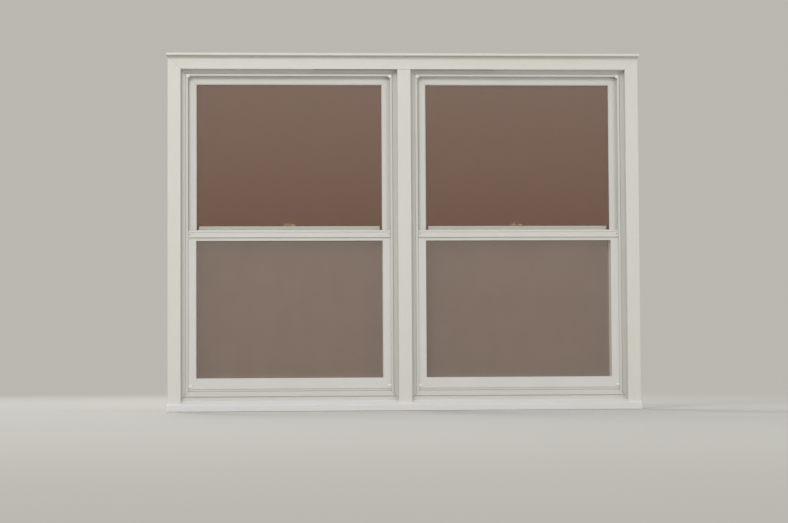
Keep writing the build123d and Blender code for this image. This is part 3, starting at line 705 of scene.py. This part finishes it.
class SASHWINDOW_OT_vinyl(Operator):
    """Give the unit frames, sashes and beads their vinyl"""

    bl_idname = "sashwindow.vinyl"
    bl_label = "Vinyl"

    def execute(self, context):
        settings = context.scene.sash_finish
        colour = tuple(settings.vinyl)
        lighter = tuple(min(c * 1.05, 1.0) for c in colour)
        sash_dirt = settings.dirt * 0.6
        frames = extruded_vinyl("frame_vinyl", colour, settings.dirt, "right_unit_frame", FRAME_WELD)
        dress(frames, *[f"{side}_unit_frame" for side in SIDES])
        beads = extruded_vinyl("bead_vinyl", lighter, sash_dirt)
        for kind in KINDS:
            sash = extruded_vinyl(f"{kind}_sash_vinyl", lighter, sash_dirt, f"right_{kind}_sash", SASH_WELD)
            dress(sash, *[f"{side}_{kind}_sash" for side in SIDES])
            dress(beads, *[f"{side}_{kind}_beads" for side in SIDES])
        return {"FINISHED"}


class SASHWINDOW_OT_glass(Operator):
    """Give the panes their glass and the spacers their metal"""

    bl_idname = "sashwindow.glass"
    bl_label = "Glass"

    def execute(self, context):
        settings = context.scene.sash_finish
        ledges, domes = [], []
        for side in SIDES:
            low, high = corners(f"{side}_upper_panes")
            lock_low, lock_high = corners(f"{side}_lock_base")
            ledge_top = corners(f"{side}_lock_keeper")[0][2]
            ledges.append((low[0] + LEDGE_INSET, high[0] - LEDGE_INSET, ledge_top))
            domes.append(((lock_low[0] + lock_high[0]) / 2 + LOCK_SLIDE[side], ledge_top))
        # The glass's dark colour and its share: painted shade of the dim room behind the panes.
        room_shade, body = tuple(settings.glass), settings.room_shade_share
        glasses = {
            "upper": window_glass("upper_glass", room_shade, body, ledges, domes),
            "lower": window_glass("lower_glass", room_shade, body),
        }
        spacer = cast_metal("spacer_metal", (0.62, 0.63, 0.64), (0.42, 0.43, 0.44), 0.35)
        for pair in PAIRS:
            glass = glasses[pair.split("_")[1]]
            dress(glass, f"{pair}_panes")
            dress(spacer, f"{pair}_spacer")
            low, high = corners(f"{pair}_panes")
            outer = self.slab(low, high, low[1], low[1] + PANE_THICKNESS)
            inner = self.slab(low, high, high[1] - PANE_THICKNESS, high[1])
            piece = new_piece(f"{pair}_glass", joined(outer, inner), glass, f"{pair}_sash")
            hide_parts(f"{pair}_panes")
        return {"FINISHED"}

    def slab(self, low, high, front, back):
        """Pane with ground edges: a profile of inset and depth, bevelled, carried round its rectangle."""
        front, back = front + PANE_PLAY, back - PANE_PLAY
        inset = np.array([PANE_BEVEL, 0.0, 0.0, PANE_BEVEL])[:, None]
        depth = np.array([front, front + PANE_BEVEL, back - PANE_BEVEL, back])[:, None]
        across = np.where([[True, False, False, True]], low[0] + inset, high[0] - inset)
        height = np.where([[True, True, False, False]], low[2] + inset, high[2] - inset)
        vertices = np.stack([across, np.broadcast_to(depth, (4, 4)), height], axis=2).reshape(-1, 3)
        return vertices, np.concatenate([ring_quads(4, 4), [[0, 1, 2, 3]], [[15, 14, 13, 12]]])


class SASHWINDOW_OT_hardware(Operator):
    """Finish the locks, latches, shoes, rods, pivots and balance tubes"""

    bl_idname = "sashwindow.hardware"
    bl_label = "Hardware"

    def execute(self, context):
        brass = tuple(context.scene.sash_finish.brass)
        lock = cast_metal("lock_metal", brass, shaded(brass, 0.6), 0.22)
        steel = cast_metal("zinc_steel", (0.60, 0.61, 0.63), (0.36, 0.37, 0.39), 0.34)
        plastic = moulded_plastic("white_plastic", (0.74, 0.74, 0.71))
        tube = moulded_plastic("tube_plastic", (0.66, 0.66, 0.63), 0.36)
        dress(lock, *[f"{side}_lock_{part}" for side in SIDES for part in ("base", "lever", "keeper")])
        dress(plastic, *[f"{pair}_{end}_latch" for pair in PAIRS for end in SIDES])
        dress(plastic, *[f"{pair}_shoes" for pair in PAIRS])
        dress(steel, *[f"{pair}_rods_and_pivots" for pair in PAIRS])
        dress(tube, "balance_tubes")
        return {"FINISHED"}


class SASHWINDOW_OT_screens(Operator):
    """Enamel the screen frames and weave their insect mesh"""

    bl_idname = "sashwindow.screens"
    bl_label = "Half screens"

    def execute(self, context):
        settings = context.scene.sash_mesh
        enamel = coated_metal("screen_enamel", tuple(context.scene.sash_finish.enamel))
        dress(enamel, *[f"{side}_screen_{part}" for side in SIDES for part in ("frame", "bar")])
        wire = moulded_plastic("mesh_wire", tuple(settings.colour), 0.5)
        for side in SIDES:
            low, high = corners(f"{side}_screen_mesh")
            weave = self.weave(low, high, settings)
            mesh = new_piece(f"{side}_insect_mesh", weave, wire, f"{side}_screen")
            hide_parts(f"{side}_screen_mesh")
        return {"FINISHED"}

    def weave(self, low, high, settings):
        """Upright wires at equal steps of x, a radius in front of the middle, and level ones at equal steps
        of z, a radius behind it.
        """
        radius = settings.wire / 2
        middle = (low[1] + high[1]) / 2
        x_steps = np.arange(low[0] + radius, high[0] - radius, settings.pitch_across)
        z_steps = np.arange(low[2] + radius, high[2] - radius, settings.pitch_up)
        x_axis, y_axis, z_axis = np.eye(3)

        front, back = np.full(len(x_steps), middle - radius), np.full(len(z_steps), middle + radius)

        def upright_ends(z):
            return np.stack([x_steps, front, np.full(len(x_steps), z)], axis=1)

        def level_ends(x):
            return np.stack([np.full(len(z_steps), x), back, z_steps], axis=1)

        upright = rods_between(upright_ends(low[2]), upright_ends(high[2]), x_axis, y_axis, radius)
        level = rods_between(level_ends(low[0]), level_ends(high[0]), y_axis, z_axis, radius)
        return joined(upright, level)


class SASHWINDOW_OT_screws(Operator):
    """Set the screws of the locks, the cross bars and the jambs"""

    bl_idname = "sashwindow.screws"
    bl_label = "Screws"

    def execute(self, context):
        x_axis, y_axis, z_axis = np.eye(3)
        zinc = screw_steel("screw_zinc", (0.62, 0.62, 0.62))
        gold = screw_steel("screw_brass", tuple(context.scene.sash_finish.brass))
        jamb_spots = {1.0: [], -1.0: []}
        for side in SIDES:
            low, high = corners(f"{side}_lock_base")
            middle = (low + high) / 2
            spots = [(middle[0] + sign * LOCK_SCREW_REACH, middle[1], high[2]) for sign in (-1, 1)]
            shape = turned(FLUSH_SCREW, spots, x_axis, y_axis, z_axis)
            screws = new_piece(f"{side}_lock_screws", shape, gold, f"{side}_lower_sash")
            low, high = corners(f"{side}_screen_bar")
            places = (low[0] + BAR_SCREW_INSET, high[0] - BAR_SCREW_INSET)
            spots = [(x, low[1], high[2] - BAR_SCREW_DROP) for x in places]
            shape = turned(SMALL_SCREW, spots, x_axis, z_axis, -y_axis)
            screws = new_piece(f"{side}_bar_screws", shape, zinc, f"{side}_screen")
            low, high = corners(f"{side}_unit_frame")
            depth = JAMB_SCREW_DEPTH[side]
            for sign, wall in ((1.0, low[0] + CHANNEL_BACK_WALL), (-1.0, high[0] - CHANNEL_BACK_WALL)):
                jamb_spots[sign] += [(wall, depth, height) for height in JAMB_SCREW_HEIGHTS]
        facing_right = turned(PAN_SCREW, jamb_spots[1.0], y_axis, z_axis, x_axis)
        facing_left = turned(PAN_SCREW, jamb_spots[-1.0], z_axis, y_axis, -x_axis)
        screws = new_piece("jamb_screws", joined(facing_right, facing_left), zinc, "frame")
        return {"FINISHED"}


class SASHWINDOW_OT_welds(Operator):
    """Lay the dabs of weld flash and sealant at the corners"""

    bl_idname = "sashwindow.welds"
    bl_label = "Weld flash"

    def execute(self, context):
        flash = weld_flash("weld_flash")
        for side in SIDES:
            low, high = corners(f"{side}_unit_frame")
            y, z = low[1] - FRAME_DAB_LIFT, high[2] - FRAME_DAB_INSET
            spots = [(x, y, z) for x in (low[0] + FRAME_DAB_INSET, high[0] - FRAME_DAB_INSET)]
            shape = self.dabs(spots, FRAME_DAB_REACH, 3)
            piece = new_piece(f"{side}_frame_welds", shape, flash, "frame", smooth=True)
            y, z = corners(f"{side}_screen_frame")[0][1], low[2] + SCREEN_DAB_HEIGHT
            spots = [(x, y, z) for x in (low[0] + SCREEN_DAB_INSET, high[0] - SCREEN_DAB_INSET)]
            shape = self.dabs(spots, SCREEN_DAB_REACH, 8)
            piece = new_piece(f"{side}_screen_welds", shape, flash, f"{side}_screen", smooth=True)
        return {"FINISHED"}

    def dabs(self, spots, reach, seed):
        """Lumpy flat balls: a unit ball times three half sizes, swollen by a share of sines of its angles."""
        down = np.linspace(0.0, np.pi, DAB_ROWS + 2)[1:-1]
        turn = np.linspace(0.0, 2 * np.pi, DAB_COLUMNS, endpoint=False)
        tilt, angle = np.meshgrid(down, turn, indexing="ij")
        sides = (np.sin(tilt) * np.cos(angle), np.sin(tilt) * np.sin(angle), np.cos(tilt))
        round_ball = np.stack(sides, axis=2)
        poles = [[0.0, 0.0, 1.0], [0.0, 0.0, -1.0]]
        faces = closed_rings(DAB_ROWS, DAB_COLUMNS)
        parts = []
        for number, spot in enumerate(spots):
            phase = seed + 2.3 * number
            lumps = np.sin(3 * angle + phase) * np.sin(tilt) ** 2 + np.sin(2 * tilt + 5 * angle + phase)
            ball = (round_ball * (1.0 + DAB_SWELL * lumps)[..., None]).reshape(-1, 3)
            parts.append((np.asarray(spot) + np.concatenate([ball, poles]) * np.asarray(reach), faces))
        return joined(*parts)


class SASHWINDOW_OT_stage(Operator):
    """Set the floor, backdrop, lamps and camera"""

    bl_idname = "sashwindow.stage"
    bl_label = "Stage"

    def execute(self, context):
        settings = context.scene.sash_stage
        self.floor(settings)
        self.sky(settings)
        self.lamps(settings)
        self.camera(context, settings)
        context.scene.view_settings.view_transform = "Standard"
        return {"FINISHED"}

    def floor(self, settings):
        """Round floor: rings of points about the object; the camera sees the backdrop's colour take over."""
        low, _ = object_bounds()
        turn = np.linspace(0.0, 2 * np.pi, FLOOR_SIDES, endpoint=False)
        circle = np.stack([np.cos(turn), np.sin(turn)], axis=1)
        plan = np.array(FLOOR_RINGS)[:, None, None] * circle[None]
        rings = np.concatenate([plan, np.full((*plan.shape[:2], 1), low[2])], axis=2).reshape(-1, 3)
        faces = ring_quads(len(FLOOR_RINGS), FLOOR_SIDES)
        mesh = bpy.data.meshes.new("floor")
        mesh.from_pydata(rings.tolist(), [], faces.tolist() + [list(range(FLOOR_SIDES))])
        floor = bpy.data.objects.new("floor", mesh)
        bpy.context.scene.collection.objects.link(floor)
        finish = Finish("floor_paint")
        cloud = finish.noise(0.7, detail=2.0)
        colour = tuple(settings.floor)
        tone = finish.mix(cloud.rise(0.4, 2.0), colour, shaded(colour, 0.97))
        near = finish.surface(Base_Color=tone, Roughness=0.85)
        far = finish.node("ShaderNodeEmission", {}, {"Color": settings.backdrop, "Strength": 1.0})
        away = finish.node("ShaderNodeVectorMath", {"operation": "LENGTH"}, {0: finish.place}, "Value")
        share = ((away - FLOOR_FADE_START) / FLOOR_FADE_LENGTH).clamp() ** 0.8 * finish.ray("Camera")
        mesh.materials.append(finish.done(finish.blend(share, near, far)))
        floor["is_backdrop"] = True

    def sky(self, settings):
        """World: a pale light that grows with height.

        Rays from the camera see the plain backdrop. Gloss and glass see it dim at the horizon, and brighter
        than plain a little above.
        """
        world = bpy.data.worlds.new("sky")
        shading = Shading(world, "Generated")
        height = shading.axis("Z")
        straight = shading.ray("Camera")
        seen = (straight + shading.ray("Glossy") + shading.ray("Transmission")).clamp()
        mirrored = 0.08 + height.rise(0.02, 8.0) * 1.6
        view = {"Color": settings.backdrop, "Strength": straight + (1.0 - straight) * mirrored}
        light = {"Color": (0.95, 0.97, 1.0), "Strength": settings.sky * (0.72 + height.clamp())}
        shader = shading.blend(
            seen,
            shading.node("ShaderNodeBackground", {}, light),
            shading.node("ShaderNodeBackground", {}, view),
        )
        shading.node("ShaderNodeOutputWorld", {}, {"Surface": shader})
        bpy.context.scene.world = world

    def lamps(self, settings):
        """Soft round lamps: the main one at the front left, a low weak one at the front right, one behind."""
        for name, place, aim, size, share in LAMPS:
            data = bpy.data.lights.new(name, "AREA")
            data.shape = "DISK"
            data.size = size
            data.energy = settings.key * share
            lamp = bpy.data.objects.new(name, data)
            lamp.location = place
            direction = Vector(aim) - Vector(place)
            lamp.rotation_euler = direction.to_track_quat("-Z", "Y").to_euler()
            lamp.visible_glossy = name == "key"
            bpy.context.scene.collection.objects.link(lamp)

    def camera(self, context, settings):
        """Camera from its place, yaw, pitch and roll; the lens is the focal length over the photo's width."""
        data = bpy.data.cameras.new("photo_camera")
        data.sensor_width = SENSOR_WIDTH
        data.lens = settings.focal / PHOTO_WIDTH * SENSOR_WIDTH
        data.clip_end = 100.0
        yaw, pitch, roll = settings.yaw, settings.pitch, settings.roll
        forward = Vector((-sin(yaw) * cos(pitch), cos(yaw) * cos(pitch), sin(pitch)))
        right = Vector((cos(yaw), sin(yaw), 0.0))
        up = right.cross(forward)
        rolled_right = cos(roll) * right + sin(roll) * up
        rolled_up = cos(roll) * up - sin(roll) * right
        turn = Matrix((rolled_right, rolled_up, -forward)).transposed()
        place = Vector((settings.camera_x, settings.camera_y, settings.camera_z))
        camera = bpy.data.objects.new("photo_camera", data)
        camera.matrix_world = Matrix.Translation(place) @ turn.to_4x4()
        context.scene.collection.objects.link(camera)
        context.scene.camera = camera


STEPS = (
    SASHWINDOW_OT_trim,
    SASHWINDOW_OT_boards,
    SASHWINDOW_OT_vinyl,
    SASHWINDOW_OT_glass,
    SASHWINDOW_OT_hardware,
    SASHWINDOW_OT_screens,
    SASHWINDOW_OT_screws,
    SASHWINDOW_OT_welds,
    SASHWINDOW_OT_stage,
)


class SASHWINDOW_PT_panel(Panel):
    """Buttons for every step, with the settings they read"""

    bl_idname = "SASHWINDOW_PT_panel"
    bl_label = "Sash window"
    bl_space_type = "VIEW_3D"
    bl_region_type = "UI"
    bl_category = "Sash window"

    def draw(self, context):
        for step in STEPS:
            self.layout.operator(step.bl_idname)
        for group in (context.scene.sash_finish, context.scene.sash_mesh, context.scene.sash_stage):
            box = self.layout.box()
            for name in group.__annotations__:
                box.prop(group, name)


CLASSES = (
    SASHWINDOW_PG_finish,
    SASHWINDOW_PG_mesh,
    SASHWINDOW_PG_stage,
    *STEPS,
    SASHWINDOW_PT_panel,
)


def register():
    for item in CLASSES:
        bpy.utils.register_class(item)
    bpy.types.Scene.sash_finish = PointerProperty(type=SASHWINDOW_PG_finish)
    bpy.types.Scene.sash_mesh = PointerProperty(type=SASHWINDOW_PG_mesh)
    bpy.types.Scene.sash_stage = PointerProperty(type=SASHWINDOW_PG_stage)


def unregister():
    for name in ("sash_finish", "sash_mesh", "sash_stage"):
        delattr(bpy.types.Scene, name)
    for item in reversed(CLASSES):
        bpy.utils.unregister_class(item)


def main():
    """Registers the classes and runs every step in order."""
    register()
    for step in STEPS:
        group, action = step.bl_idname.split(".")
        getattr(getattr(bpy.ops, group), action)()


if __name__ == "__main__":
    main()
